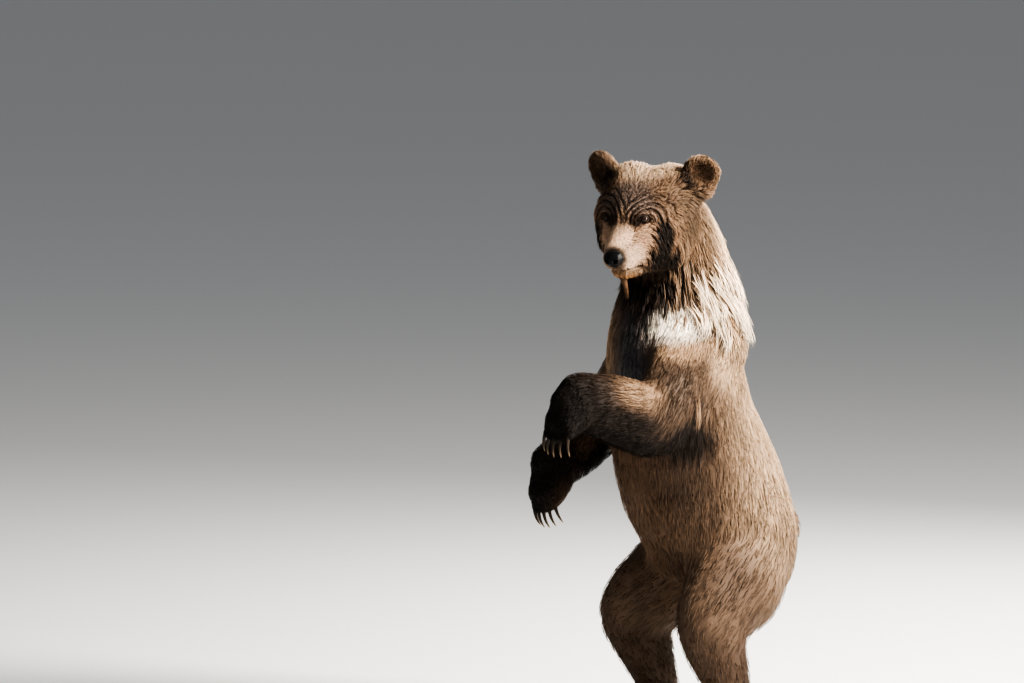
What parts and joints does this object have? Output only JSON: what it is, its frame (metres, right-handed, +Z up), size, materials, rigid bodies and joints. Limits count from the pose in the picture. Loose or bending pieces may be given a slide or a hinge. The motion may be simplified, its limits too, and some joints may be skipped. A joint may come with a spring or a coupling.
{
  "type": "grizzly bear",
  "caption": "Still, life-size young grizzly bear standing half crouched on its hind legs, one foreleg held out with the paw drooping, head turned to its left.",
  "frame": {"origin": "centre of the base of the model's box, on the floor the hind feet stand on", "axes": "+Z up, -Y the way the chest faces, +X to the bear's own left"},
  "size_m": [0.575, 0.9772, 1.5801],
  "materials": {
    "coat": "wet brown fur, blond on the nape and shoulders and dark on the legs",
    "claw_horn": "satin horn",
    "nose_skin": "moist black skin",
    "eye": "wet, glossy dark brown"
  },
  "bodies": {
    "root": {"chest": "coat", "neck": "coat", "head": "coat", "lower_jaw": "coat", "nose": "nose_skin", "ear_left": "coat", "ear_right": "coat", "eye_left": "eye", "eye_right": "eye", "pelvis": "coat", "tail": "coat", "upper_arm_left": "coat", "upper_arm_right": "coat", "forearm_left": "coat", "forearm_right": "coat", "forepaw_left": "coat", "forepaw_right": "coat", "thigh_left": "coat", "thigh_right": "coat", "shin_left": "coat", "shin_right": "coat", "hind_foot_left": "coat", "hind_foot_right": "coat", "claw_fore_left_1": "claw_horn", "claw_fore_left_2": "claw_horn", "claw_fore_left_3": "claw_horn", "claw_fore_left_4": "claw_horn", "claw_fore_left_5": "claw_horn", "claw_fore_right_1": "claw_horn", "claw_fore_right_2": "claw_horn", "claw_fore_right_3": "claw_horn", "claw_fore_right_4": "claw_horn", "claw_fore_right_5": "claw_horn", "claw_hind_left_1": "claw_horn", "claw_hind_left_2": "claw_horn", "claw_hind_left_3": "claw_horn", "claw_hind_left_4": "claw_horn", "claw_hind_left_5": "claw_horn", "claw_hind_right_1": "claw_horn", "claw_hind_right_2": "claw_horn", "claw_hind_right_3": "claw_horn", "claw_hind_right_4": "claw_horn", "claw_hind_right_5": "claw_horn"}
  },
  "joints": []
}
